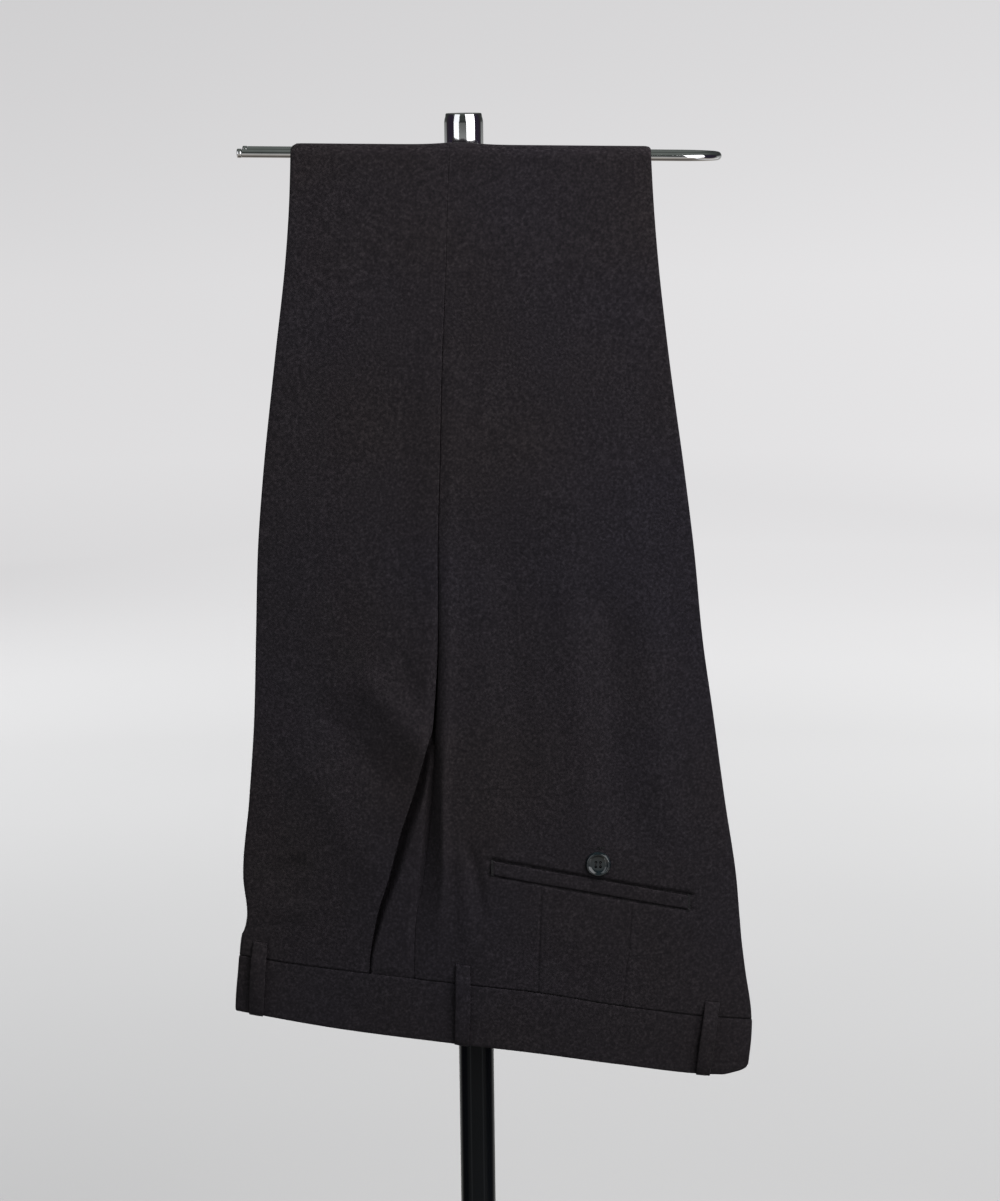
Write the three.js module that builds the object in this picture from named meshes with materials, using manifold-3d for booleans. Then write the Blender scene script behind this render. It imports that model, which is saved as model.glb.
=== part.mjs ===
// Suit trousers hung waist down over the front prong of a chrome rail on a round stand.
// Millimetres. +Z is up, -Y is the front, +X runs towards the back crease of the trousers.
// The origin is on the floor, on the axis of the pole.
//
// The trousers are pressed flat along their creases and folded leg on leg. Four layers of
// cloth pass over the prong: the left leg's outer face lies on the rod, then the left leg's
// inner face, the right leg's inner face, and the right leg's outer face on top.
import * as THREE from 'three';
import { mergeVertices } from 'three/addons/utils/BufferGeometryUtils.js';
import Module from 'manifold-3d';

const wasm = await Module();
wasm.setup();

// ---------------------------------------------------------------- driving dimensions

// stand
const railHeight = 1050; // axis of the rail where it meets the pole
const railReach = 50; // the front prong stands this far in front of the pole's axis
const railDip = Math.tan(THREE.MathUtils.degToRad(1.15)); // the closed end hangs a little low
const rodRadius = 3;
const prongStart = -147.7; // open end of both prongs
const bendStart = 146; // where both prongs turn into the closed end
const poleRadius = 12;
const sleeveRadius = 13.3;
const sleeveWall = 1;
const sleeveRise = 26.3; // top of the sleeve above the rail
const sleeveDrop = 40; // foot of the sleeve below the rail
const baseRadius = 155;
const baseThickness = 8;
const clearance = 0.3; // between any two touching pieces
const capOversize = 0.3; // an end cap is this much larger than the rod in radius

// cloth
const clothThickness = 1;
const bandThickness = 1.6; // waistband with its interlining
const bandGap = 0.5; // between the panels and the waistband
const layerStep = clothThickness + clearance;
const leftInset = 1.5; // the left leg lies this far inside the right leg's creases
const hemFall = 450; // the hems hang this far below the rail, behind it
const lift = 0.7; // what lies on a panel stands this far off it

// Falls are measured down from the rail's axis. They are positive in front of the rail
// and negative behind it. "across" is the position along X.

// Creases and side seam of the folded leg
const outline = [
  { fall: -hemFall, front: -95, seam: -1, back: 105 },
  { fall: -230, front: -105, seam: -5, back: 115 },
  { fall: 0, front: -114.5, seam: -9.5, back: 124.5 },
  { fall: 30, front: -116, seam: -11, back: 126 },
  { fall: 70, front: -119.5, seam: -12.5, back: 129 },
  { fall: 135, front: -128, seam: -16, back: 136 },
  { fall: 215, front: -138, seam: -19, back: 146.5 },
  { fall: 270, front: -143, seam: -21, back: 153 },
  { fall: 325, front: -145.5, seam: -21.5, back: 158 },
  { fall: 380, front: -148, seam: -24, back: 165.5 },
  { fall: 440, front: -153, seam: -28, back: 173.5 },
  { fall: 495, front: -158.5, seam: -34.5, back: 181.5 },
  { fall: 520, front: -156.5, seam: -39.5, back: 183.5 },
  { fall: 545, front: -161, seam: -41.5, back: 185.5 },
  { fall: 570, front: -164, seam: -41.5, back: 189.5 },
  { fall: 595, front: -166, seam: -41.5, back: 192 },
  { fall: 640, front: -166, seam: -41.5, back: 191 },
];

// Waistband: its seam to the panels, and its free edge, which is the waist
const band = [
  { across: -166, seam: 550.5, edge: 591 },
  { across: -90, seam: 559, edge: 602 },
  { across: -16, seam: 566, edge: 609.5 },
  { across: 38, seam: 571.5, edge: 615.5 },
  { across: 101, seam: 582, edge: 624.5 },
  { across: 156, seam: 590, edge: 632.5 },
  { across: 191, seam: 594, edge: 635 },
];
const cornerRadius = 9; // the waist's corner at the centre back

// How far each outer face stands off the flat fold in mid-width, and how far the creases
// of each leg open
const fullness = [
  { fall: -hemFall, outward: 4, inward: 0, opening: 0.6 },
  { fall: -200, outward: 2, inward: 0, opening: 0.2 },
  { fall: 0, outward: 0, inward: 0, opening: 0 },
  { fall: 120, outward: 1.5, inward: 0, opening: 0 },
  { fall: 250, outward: 4, inward: 0, opening: 0.2 },
  { fall: 350, outward: 7.5, inward: 1.2, opening: 0.5 },
  { fall: 430, outward: 11, inward: 2.4, opening: 1 },
  { fall: 480, outward: 12.5, inward: 4.5, opening: 1.5 },
  { fall: 550, outward: 13.5, inward: 8, opening: 2 },
  { fall: 640, outward: 13.5, inward: 9, opening: 2 },
];

// Slanted side pocket: how far its edge lies from the side seam, how far the edge stands
// off the leg, and where the facing under it begins to dip
const sidePocket = [
  { fall: 300, slant: 0.15, proud: 0, dip: 0.15 },
  { fall: 385, slant: 0.15, proud: 1.5, dip: 0.15 },
  { fall: 402, slant: 5.5, proud: 2, dip: 1.5 },
  { fall: 429, slant: 12, proud: 2.5, dip: 3.5 },
  { fall: 466, slant: 20, proud: 3, dip: 8 },
  { fall: 515, slant: 26, proud: 2.5, dip: 16 },
  { fall: 548, slant: 32, proud: 1, dip: 30 },
  { fall: 575, slant: 32, proud: 0.5, dip: 31 },
];
const facingStart = 0.7; // row of the panel where the facing begins
const facingUnderlap = 14; // the facing reaches this far under the pocket's edge
const facingDepth = 5; // and lies this far below the leg there

// Inner halves of the panels: inseam on the leg, then the front and back rise
const rise = [
  { fall: -hemFall, front: 2, back: 2 },
  { fall: 0, front: -6, back: -6 },
  { fall: 215, front: -17, back: -17 },
  { fall: 325, front: -22, back: -22 },
  { fall: 345, front: -22, back: -22 },
  { fall: 372, front: -44, back: 28 },
  { fall: 410, front: -66, back: 82 },
  { fall: 460, front: -76, back: 126 },
  { fall: 520, front: -81, back: 160 },
  { fall: 580, front: -86, back: 180 },
  { fall: 640, front: -88, back: 184 },
];

// Belt loops: middle of each loop at its leg end and at the waist
const beltLoops = [
  { name: 'front', across: -148, fall: 541, waistAcross: -152.5 },
  { name: 'side', across: -7.5, fall: 557.5, waistAcross: -9.5 },
  { name: 'back', across: 164.5, fall: 580.5, waistAcross: 158 },
];
const loopWidth = 10;
const loopThickness = 1.2;
const loopBow = 0.8; // a loop stands this much further off the band in the middle

// Back welt pocket
const welt = { start: 12.5, end: 151.5, fall: 487.5, slope: 0.175, width: 10.5 };
const button = { across: 86, fall: 481.5, radius: 8, thickness: 3 };
const buttonHoles = { radius: 1, spacing: 3.2 };

// Rows of each panel, as fractions of the way from the rail down to the waistband
const frontRows = [1, 0.955, 0.91, 0.86, 0.81, 0.76, 0.7, 0.64, 0.57, 0.48, 0.36, 0.22, 0.1, 0];
const bendAngles = [30, 60, 90, 120, 150]; // degrees around the rod, 0 in front, 180 behind
const rearRows = [0, 0.15, 0.4, 0.7, 1]; // fractions of the way down to the hem

const colours = {
  cloth: 0x232124,
  chrome: 0xd8d8da,
  black: 0x0b0c0e,
  button: 0x2b3138,
};

// ---------------------------------------------------------------- working from the tables

// Smooth value of one column of a table, whose rows are in order of the key
function sample(table, key, at, column) {
  const last = table.length - 1;
  if (at <= table[0][key]) return table[0][column];
  if (at >= table[last][key]) return table[last][column];
  let i = 0;
  while (table[i + 1][key] < at) i += 1;
  const slope = (a, b) => (table[b][column] - table[a][column]) / (table[b][key] - table[a][key]);
  const tangent = (n) => {
    const before = slope(Math.max(n - 1, 0), Math.max(n, 1));
    const after = slope(Math.min(n, last - 1), Math.min(n + 1, last));
    return before * after > 0 ? (2 * before * after) / (before + after) : 0;
  };
  const width = table[i + 1][key] - table[i][key];
  const t = (at - table[i][key]) / width;
  const rest = 1 - t;
  return (
    table[i][column] * rest * rest * (1 + 2 * t) +
    table[i + 1][column] * t * t * (3 - 2 * t) +
    width * t * rest * (rest * tangent(i) - t * tangent(i + 1))
  );
}

const bandSeam = (across) => sample(band, 'across', across, 'seam');
const waistEdge = (across) => sample(band, 'across', across, 'edge');
const outlineAt = (fall, column) => sample(outline, 'fall', fall, column);

// A point of the hung cloth: "depth" is how far it lies off the rod's surface, "turn" the
// angle round the rod
function hang(across, fall, depth, turn) {
  const radius = rodRadius + depth;
  const axisHeight = railHeight - railDip * across;
  return new THREE.Vector3(
    across,
    -railReach - radius * Math.cos(turn),
    axisHeight + radius * Math.sin(turn) - Math.abs(fall),
  );
}

// The two legs: side 1 is the right leg, on top, and side -1 the left leg, on the rod
const legs = {
  right: { side: 1, outerLayer: 3, innerLayer: 2, inset: 0, swell: 'outward' },
  left: { side: -1, outerLayer: 0, innerLayer: 1, inset: leftInset, swell: 'inward' },
};

const layerDepth = (layer) => clearance + clothThickness / 2 + layer * layerStep;

function innerDepth(leg, fall) {
  const opening = sample(fullness, 'fall', fall, 'opening');
  return layerDepth(leg.innerLayer) + leg.side * 0.25 * opening;
}

// Middle of the cloth of a leg's outer face
function outerDepth(leg, across, fall) {
  const front = outlineAt(fall, 'front') + leg.inset;
  const back = outlineAt(fall, 'back') - leg.inset;
  const fromMiddle = Math.min(1, Math.abs((2 * (across - front)) / (back - front) - 1));
  const swell = sample(fullness, 'fall', fall, leg.swell) * (1 - fromMiddle ** 2.5);
  const opening = sample(fullness, 'fall', fall, 'opening');
  return layerDepth(leg.outerLayer) + leg.side * (opening + swell);
}

// The front panel's edge along the side pocket stands a little off the leg
function frontPanelDepth(leg, across, fall) {
  const seam = outlineAt(fall, 'seam');
  const proud = fall > 0 ? sample(sidePocket, 'fall', fall, 'proud') : 0;
  const nearness = THREE.MathUtils.clamp(1 - (seam - across) / 90, 0, 1);
  return outerDepth(leg, across, fall) + leg.side * proud * nearness * nearness;
}

// ---------------------------------------------------------------- closed bodies

function closedBody(points, triangles) {
  let volume = 0;
  for (let i = 0; i < triangles.length; i += 3) {
    const [a, b, c] = [0, 1, 2].map((k) => points[triangles[i + k]]);
    volume += a.dot(new THREE.Vector3().crossVectors(b, c));
  }
  if (volume < 0) triangles.reverse();
  const geometry = new THREE.BufferGeometry().setFromPoints(points);
  geometry.setIndex(triangles);
  return geometry;
}

// A wall of cloth between two grids of points, each a list of rows of equal length
function wall(outer, inner) {
  const rows = outer.length;
  const columns = outer[0].length;
  const points = [...outer.flat(), ...inner.flat()];
  const far = rows * columns;
  const triangles = [];
  const quad = (a, b, c, d) => triangles.push(a, b, c, a, c, d);
  for (let i = 0; i < rows - 1; i += 1) {
    for (let j = 0; j < columns - 1; j += 1) {
      const a = i * columns + j;
      quad(a, a + 1, a + columns + 1, a + columns);
      quad(far + a, far + a + columns, far + a + columns + 1, far + a + 1);
    }
  }
  const rim = [];
  for (let j = 0; j < columns; j += 1) rim.push(j);
  for (let i = 1; i < rows; i += 1) rim.push(i * columns + columns - 1);
  for (let j = columns - 2; j >= 0; j -= 1) rim.push((rows - 1) * columns + j);
  for (let i = rows - 2; i > 0; i -= 1) rim.push(i * columns);
  rim.forEach((a, n) => {
    const b = rim[(n + 1) % rim.length];
    quad(a, far + a, far + b, b);
  });
  return closedBody(points, triangles);
}

// A solid through rings of points, closed by a fan at each end
function loft(rings) {
  const sides = rings[0].length;
  const points = rings.flat();
  const triangles = [];
  for (let i = 0; i < rings.length - 1; i += 1) {
    for (let j = 0; j < sides; j += 1) {
      const a = i * sides + j;
      const b = i * sides + ((j + 1) % sides);
      triangles.push(a, b, b + sides, a, b + sides, a + sides);
    }
  }
  const end = (rings.length - 1) * sides;
  for (let j = 1; j < sides - 1; j += 1) {
    triangles.push(0, j + 1, j, end, end + j, end + j + 1);
  }
  return closedBody(points, triangles);
}

function solid(geometry) {
  const bare = geometry.clone();
  bare.deleteAttribute('normal');
  bare.deleteAttribute('uv');
  const merged = mergeVertices(bare, 1e-4);
  const mesh = new wasm.Mesh({
    numProp: 3,
    vertProperties: new Float32Array(merged.attributes.position.array),
    triVerts: new Uint32Array(merged.index.array),
  });
  return new wasm.Manifold(mesh);
}

function fromSolid(manifold) {
  const mesh = manifold.getMesh();
  const geometry = new THREE.BufferGeometry();
  geometry.setAttribute('position', new THREE.BufferAttribute(mesh.vertProperties, 3));
  geometry.setIndex(new THREE.BufferAttribute(mesh.triVerts, 1));
  return geometry;
}

const finishes = {
  cloth: { color: colours.cloth, roughness: 0.9, metalness: 0 },
  chrome: { color: colours.chrome, roughness: 0.08, metalness: 1 },
  black: { color: colours.black, roughness: 0.15, metalness: 0 },
  button: { color: colours.button, roughness: 0.25, metalness: 0 },
};

const model = new THREE.Group();

function add(name, geometry, finish) {
  const mesh = new THREE.Mesh(geometry, new THREE.MeshStandardMaterial(finishes[finish]));
  mesh.name = name;
  model.add(mesh);
  return mesh;
}

// ---------------------------------------------------------------- folded cloth

const spaced = (from, to, count) =>
  Array.from({ length: count }, (_, i) => from + ((to - from) * i) / (count - 1));

// Section of a panel at one row: the outer face from its side edge to the crease, round
// the crease, and along the inner face. Each point has its outward direction.
function foldedSection({ leg, from, crease, to, depthOut, depthIn, outerCount, innerCount }) {
  const towards = Math.sign(crease - from);
  const creaseDepth = depthOut(crease);
  const radius = (Math.abs(creaseDepth - depthIn)) / 2;
  const turnStart = crease - towards * radius;
  const points = spaced(from, turnStart, outerCount).map((across) => ({
    across,
    depth: depthOut(across),
    normal: [0, leg.side],
  }));
  points[points.length - 1].depth = creaseDepth;
  points.push({
    across: crease,
    depth: (creaseDepth + depthIn) / 2,
    normal: [towards, 0],
  });
  spaced(turnStart, to, innerCount).forEach((across) => {
    points.push({ across, depth: depthIn, normal: [0, -leg.side] });
  });
  return points;
}

// Rows of a panel from the waistband, over the rail, to the hem
function panelRows() {
  const front = frontRows.map((part) => ({ part, turn: 0, behind: false }));
  const over = bendAngles.map((angle) => ({
    part: 0,
    turn: THREE.MathUtils.degToRad(angle),
    behind: false,
  }));
  const rear = rearRows.map((part) => ({ part, turn: Math.PI, behind: true }));
  return [...front, ...over, ...rear];
}

function rowFall(row, across) {
  return row.behind ? -row.part * hemFall : row.part * bandSeam(across);
}

// Both faces of a section, hung over the rail
function hangSection(section, thickness, row, fallOf) {
  const face = (offset) =>
    section.map(({ across, depth, normal }) =>
      hang(across + offset * normal[0], fallOf(across), depth + offset * normal[1], row.turn),
    );
  return { outer: face(thickness / 2), inner: face(-thickness / 2) };
}

function panel(leg, which) {
  const towards = which === 'front' ? -1 : 1;
  const outer = [];
  const inner = [];
  panelRows().forEach((row) => {
    const guess = { front: -160, back: 190 }[which];
    const creaseFall = rowFall(row, guess);
    const seamFall = rowFall(row, outlineAt(rowFall(row, -20), 'seam'));
    const crease = outlineAt(creaseFall, which) - towards * leg.inset;
    const slant = seamFall > 0 ? sample(sidePocket, 'fall', seamFall, 'slant') : 0.15;
    const sideGap = which === 'front' ? -slant : clearance / 2;
    const section = foldedSection({
      leg,
      from: outlineAt(seamFall, 'seam') + sideGap,
      crease,
      to: sample(rise, 'fall', seamFall, which) + (towards * clearance) / 2,
      depthOut: (across) => {
        const fall = rowFall(row, across);
        if (which === 'front') return frontPanelDepth(leg, across, fall);
        return outerDepth(leg, across, fall);
      },
      depthIn: innerDepth(leg, seamFall),
      outerCount: which === 'front' ? 6 : 7,
      innerCount: 5,
    });
    const faces = hangSection(section, clothThickness, row, (across) => rowFall(row, across));
    outer.push(faces.outer);
    inner.push(faces.inner);
  });
  return wall(outer, inner);
}

// A waistband half runs from the centre front, folded in behind the front crease, across
// the outer face to the centre back
function waistband(leg) {
  const rows = [0, 0.35, 0.75, 1];
  const outer = [];
  const inner = [];
  rows.forEach((part) => {
    const fallOf = (across) => {
      const top = bandSeam(across) + bandGap;
      const fall = top + part * (waistEdge(across) - top);
      const back = outlineAt(fall, 'back') - leg.inset;
      const corner = Math.max(0, across - (back - cornerRadius)) / cornerRadius;
      const cut = cornerRadius * (1 - Math.sqrt(Math.max(0, 1 - Math.min(1, corner) ** 2)));
      return fall - (part === 1 ? 0.75 * cut : 0);
    };
    const depthOut = (across) => outerDepth(leg, across, fallOf(across));
    const halfOf = (which, outerCount, innerCount, from) => {
      const towards = which === 'front' ? -1 : 1;
      const crease = outlineAt(fallOf(which === 'front' ? -160 : 185), which);
      return foldedSection({
        leg,
        from,
        crease: crease - towards * leg.inset,
        to: sample(rise, 'fall', fallOf(0), which) + (towards * clearance) / 2,
        depthOut,
        depthIn: innerDepth(leg, fallOf(0)) + leg.side * 0.25,
        outerCount,
        innerCount,
      });
    };
    const middle = 10;
    const frontHalf = halfOf('front', 8, 4, middle).reverse();
    const backHalf = halfOf('back', 8, 2, middle).slice(1);
    const section = [...frontHalf, ...backHalf];
    const faces = hangSection(section, bandThickness, { turn: 0 }, fallOf);
    outer.push(faces.outer);
    inner.push(faces.inner);
  });
  return wall(outer, inner);
}

// ---------------------------------------------------------------- pieces on the panels

// A strip lying on the outer face. "at" gives the across and fall of each of its points,
// "off" how far its underside stands off the cloth.
function strip(leg, lengthCount, widthCount, thickness, base, at, off) {
  const face = (extra) =>
    spaced(0, 1, lengthCount).map((along) =>
      spaced(0, 1, widthCount).map((side) => {
        const { across, fall } = at(along, side);
        const depth = outerDepth(leg, across, fall);
        return hang(across, fall, depth + leg.side * (base + off(along) + extra), 0);
      }),
    );
  return wall(face(thickness), face(0));
}

function beltLoop(leg, { across, fall, waistAcross }) {
  const waistFall = waistEdge(waistAcross) + 0.5;
  return strip(
    leg,
    5,
    2,
    loopThickness,
    bandThickness / 2 + lift,
    (along, side) => ({
      across: across + along * (waistAcross - across) + (side - 0.5) * loopWidth,
      fall: fall + along * (waistFall - fall) + ((side - 0.5) * loopWidth) / 8,
    }),
    (along) => loopBow * Math.sin(Math.PI * along),
  );
}

function backWelt(leg) {
  const middleLine = (across) => welt.fall + welt.slope * (across - welt.start);
  return strip(
    leg,
    7,
    2,
    clothThickness,
    clothThickness / 2 + lift,
    (along, side) => {
      const across = welt.start + along * (welt.end - welt.start);
      return { across, fall: middleLine(across) + (side - 0.5) * welt.width };
    },
    () => 0,
  );
}

// The facing of the side pocket starts flush beside the back panel and dips under the
// front panel's edge
function pocketFacing(leg) {
  const outer = [];
  const inner = [];
  panelRows().filter((row) => row.part >= facingStart && !row.behind).forEach((row) => {
    const fall = rowFall(row, outlineAt(rowFall(row, -20), 'seam'));
    const seam = outlineAt(fall, 'seam') - clearance / 2;
    const edge = seam - sample(sidePocket, 'fall', fall, 'slant');
    const dip = seam - sample(sidePocket, 'fall', fall, 'dip');
    const swell = sample(fullness, 'fall', fall, leg.swell);
    const under = THREE.MathUtils.clamp(swell * 0.45, layerStep + 0.1, facingDepth);
    const columns = [
      { across: seam, below: 0 },
      { across: dip, below: 0.1 * under },
      { across: edge + 1, below: under },
      { across: edge - facingUnderlap, below: under },
    ];
    const place = (extra) =>
      columns.map(({ across, below }) => {
        const level = rowFall(row, across);
        const depth = outerDepth(leg, across, level) - leg.side * (below + extra);
        return hang(across, level, depth, 0);
      });
    outer.push(place(-clothThickness / 2));
    inner.push(place(clothThickness / 2));
  });
  return wall(outer, inner);
}

function buttonGeometry() {
  const { radius, thickness } = button;
  const profile = [
    [0, 0],
    [radius - 1.5, 0],
    [radius, 1.2],
    [radius, 2.2],
    [radius - 0.7, thickness],
    [radius - 1.7, thickness],
    [radius - 2.6, thickness - 0.6],
    [0, thickness - 0.6],
  ].map(([across, up]) => new THREE.Vector2(across, up));
  let body = solid(new THREE.LatheGeometry(profile, 28));
  [-1, 1].forEach((i) => {
    [-1, 1].forEach((j) => {
      const hole = new THREE.CylinderGeometry(buttonHoles.radius, buttonHoles.radius, 10, 8);
      hole.translate((i * buttonHoles.spacing) / 2, 0, (j * buttonHoles.spacing) / 2);
      body = body.subtract(solid(hole));
    });
  });
  return fromSolid(body);
}

function placeButton(mesh, leg) {
  const { across, fall } = button;
  const at = (dx, dy) => {
    const depth = outerDepth(leg, across + dx, fall + dy);
    return hang(across + dx, fall + dy, depth, 0);
  };
  const alongAcross = at(5, 0).sub(at(-5, 0));
  const alongFall = at(0, -5).sub(at(0, 5));
  const outward = new THREE.Vector3().crossVectors(alongAcross, alongFall).normalize();
  outward.multiplyScalar(leg.side);
  mesh.quaternion.setFromUnitVectors(new THREE.Vector3(0, 1, 0), outward);
  const off = clothThickness / 2 + lift;
  mesh.position.copy(at(0, 0)).addScaledVector(outward, off);
}

// ---------------------------------------------------------------- stand

const rodSides = 16;

// Ring of the rod, square to its run, "heading" being the angle of the run in plan
function rodRing(across, towardsBack, heading, radius) {
  return Array.from({ length: rodSides }, (_, i) => {
    const angle = (2 * Math.PI * i) / rodSides;
    const sideways = radius * Math.cos(angle);
    return new THREE.Vector3(
      across + sideways * Math.sin(heading),
      towardsBack - sideways * Math.cos(heading),
      radius * Math.sin(angle),
    );
  });
}

function tiltWithRail(geometry) {
  geometry.rotateY(Math.atan(railDip));
  geometry.translate(0, 0, railHeight);
  return geometry;
}

function rail() {
  const bendRadius = railReach / 2;
  const rings = [rodRing(prongStart, -railReach, 0, rodRadius)];
  rings.push(rodRing(0, -railReach, 0, rodRadius));
  const steps = 12;
  for (let i = 0; i <= steps; i += 1) {
    const heading = (Math.PI * i) / steps;
    const across = bendStart + bendRadius * Math.sin(heading);
    const towardsBack = -bendRadius - bendRadius * Math.cos(heading);
    rings.push(rodRing(across, towardsBack, heading, rodRadius));
  }
  rings.push(rodRing(0, 0, Math.PI, rodRadius));
  rings.push(rodRing(prongStart, 0, Math.PI, rodRadius));
  return tiltWithRail(loft(rings));
}

function endCap(towardsBack) {
  const start = prongStart - clearance;
  const length = 3;
  const bevel = 0.6;
  const rings = [
    rodRing(start, towardsBack, 0, rodRadius + capOversize),
    rodRing(start - length + bevel, towardsBack, 0, rodRadius + capOversize),
    rodRing(start - length, towardsBack, 0, rodRadius + capOversize - bevel),
  ];
  return tiltWithRail(loft(rings));
}

function railBore() {
  const radius = rodRadius + clearance + 0.05;
  const reach = 2 * sleeveRadius;
  return solid(
    tiltWithRail(loft([rodRing(-reach, 0, 0, radius), rodRing(reach, 0, 0, radius)])),
  );
}

function lathe(profile, segments) {
  const geometry = new THREE.LatheGeometry(
    profile.map(([radius, height]) => new THREE.Vector2(radius, height)),
    segments,
  );
  return geometry.rotateX(Math.PI / 2);
}

function sleeve() {
  const top = railHeight + sleeveRise;
  const foot = railHeight - sleeveDrop;
  const bore = sleeveRadius - sleeveWall;
  const profile = [
    [0, top - 2],
    [bore, top - 2],
    [bore, foot],
    [sleeveRadius, foot],
    [sleeveRadius, top - 5.5],
    [sleeveRadius - 0.4, top - 2.6],
    [sleeveRadius - 1.1, top - 0.6],
    [sleeveRadius - 1.8, top],
    [0, top],
  ];
  return fromSolid(solid(lathe(profile, 32)).subtract(railBore()));
}

function pole() {
  const top = railHeight + sleeveRise - 2 - clearance;
  const profile = [
    [0, baseThickness + clearance],
    [poleRadius, baseThickness + clearance],
    [poleRadius, top],
    [0, top],
  ];
  return fromSolid(solid(lathe(profile, 32)).subtract(railBore()));
}

function basePlate() {
  const edge = 1.5;
  const profile = [
    [0, 0],
    [baseRadius, 0],
    [baseRadius, baseThickness - edge],
    [baseRadius - edge, baseThickness],
    [0, baseThickness],
  ];
  return lathe(profile, 56);
}

add('base_plate', basePlate(), 'black');
add('pole', pole(), 'black');
add('pole_sleeve', sleeve(), 'chrome');
add('rail', rail(), 'chrome');
add('rail_cap_front', endCap(-railReach), 'chrome');
add('rail_cap_rear', endCap(0), 'chrome');

Object.entries(legs).forEach(([name, leg]) => {
  add(`${name}_front`, panel(leg, 'front'), 'cloth');
  add(`${name}_back`, panel(leg, 'back'), 'cloth');
  add(`${name}_waistband`, waistband(leg), 'cloth');
  add(`${name}_pocket_facing`, pocketFacing(leg), 'cloth');
  add(`${name}_back_welt`, backWelt(leg), 'cloth');
  beltLoops.forEach((loop) => {
    add(`${name}_belt_loop_${loop.name}`, beltLoop(leg, loop), 'cloth');
  });
  placeButton(add(`${name}_back_button`, buttonGeometry(), 'button'), leg);
});

export default model;
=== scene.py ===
"""Suit trousers hung waist down over the rail of a round display stand.

Sizes are in millimetres in the tables and are turned into metres when a mesh is made.
The cloth lies on the form of its solids: four layers folded over the front prong.
"""
import math

import bpy
import numpy as np
from mathutils import Matrix, Vector


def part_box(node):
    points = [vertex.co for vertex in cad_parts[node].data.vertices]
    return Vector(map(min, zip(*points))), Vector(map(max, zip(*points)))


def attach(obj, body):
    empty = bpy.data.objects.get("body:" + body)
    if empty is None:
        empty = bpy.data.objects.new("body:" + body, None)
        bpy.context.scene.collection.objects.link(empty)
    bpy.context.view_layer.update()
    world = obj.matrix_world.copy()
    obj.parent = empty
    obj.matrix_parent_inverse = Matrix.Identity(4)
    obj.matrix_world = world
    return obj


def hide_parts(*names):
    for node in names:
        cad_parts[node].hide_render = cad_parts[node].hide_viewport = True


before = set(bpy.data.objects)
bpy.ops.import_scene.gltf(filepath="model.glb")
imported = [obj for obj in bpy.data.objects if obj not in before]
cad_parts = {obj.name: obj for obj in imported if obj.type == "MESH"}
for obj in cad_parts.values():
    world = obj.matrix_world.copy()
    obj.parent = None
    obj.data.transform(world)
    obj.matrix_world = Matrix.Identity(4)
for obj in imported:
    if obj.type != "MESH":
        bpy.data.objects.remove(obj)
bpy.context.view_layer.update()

MM = 0.001

# ---------- places from the frame

sleeve_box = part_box("pole_sleeve")
pole_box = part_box("pole")
base_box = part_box("base_plate")
cap_front_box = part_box("rail_cap_front")


def box_radius(box):
    return (box[1][0] - box[0][0]) / 2 / MM


# The rod shows a little thinner than its solid, and the pole a little thicker
ROD_RADIUS = 3.0
ROD_SHOWN = 2.85
POLE_SWELL = 1.035
RAIL_REACH = 50.0
RAIL_DIP = math.tan(math.radians(1.15))
SLEEVE_RADIUS = box_radius(sleeve_box)
SLEEVE_TOP = sleeve_box[1][2] / MM
SLEEVE_FOOT = sleeve_box[0][2] / MM
SLEEVE_RISE = 26.3
RAIL_HEIGHT = SLEEVE_TOP - SLEEVE_RISE
POLE_RADIUS = box_radius(pole_box) * POLE_SWELL
POLE_FOOT = pole_box[0][2] / MM
BASE_RADIUS = box_radius(base_box)
BASE_THICKNESS = (base_box[1][2] - base_box[0][2]) / MM
CAP_START = cap_front_box[0][0] / MM
PRONG_START = -147.7
BEND_START = 146.0

# ---------- cloth tables, mm

THICKNESS = 0.9
BAND_THICKNESS = 1.6
LAYER_STEP = 1.3
FIRST_LAYER = 0.8
HEM_FALL = 450.0
LEFT_INSET = 1.5
LIFT = 0.25
# Height of the fold over the rod as a share of a half circle, the hump over its middle,
# and how its two corners droop
FOLD_HEIGHT = 0.86
FOLD_HUMP = {"height": 0.17, "across": -3.0, "half": 17.0}
FRONT_CORNER = {"droop": 0.34, "reach": 1.3}
BACK_CORNER = {"droop": 0.14, "reach": 0.9}
# Side seam: the fine valley, and the low ridges of the pressed allowance on both sides
VALLEY = {"depth": 0.28, "half": 0.8}
ALLOWANCE = {"height": 0.32, "off": 9, "half": 6.0}
# Rows of a panel down the drape and behind the rod
DRAPE_LENGTH = 580
ROW_STEP = 3.4
CLOSE_STEP = 1.3
HEM_STEP = 5.2
FOLD_STEPS = 14
# Shares of the drape where the rows are closer: round the back welt, and at the waistband
CLOSE_PARTS = ((0.80, 0.915), (0.985, 1.01))

# fall is measured down from the rail, negative behind it
OUTLINE = {
    "fall": (-450, -230, 0, 30, 70, 135, 215, 270, 325, 380, 440, 495, 520, 531, 537, 558,
             595, 640),
    "front": (-95, -105, -114.5, -116, -119.5, -128, -138, -143, -145.5, -148, -153, -158.5,
              -156.4, -158, -160.6, -163, -166, -166),
    "seam": (-1, -5, -9.5, -11, -12.5, -16, -19, -21, -21.5, -24, -28, -34.5, -39.5, -40.6,
             -41, -41.5, -41.5, -41.5),
    "back": (105, 115, 124.5, 126, 129, 136, 146.5, 153, 158, 165.5, 173.5, 181.5, 183.5,
             184.4, 184.9, 187.4, 192, 188.6),
}
BAND = {
    "across": (-166, -90, -16, 38, 101, 156, 191),
    "seam": (550.5, 559, 566, 571.5, 582, 590, 594),
    "edge": (591, 602, 609.5, 615.5, 624.5, 632.5, 635),
}
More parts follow.
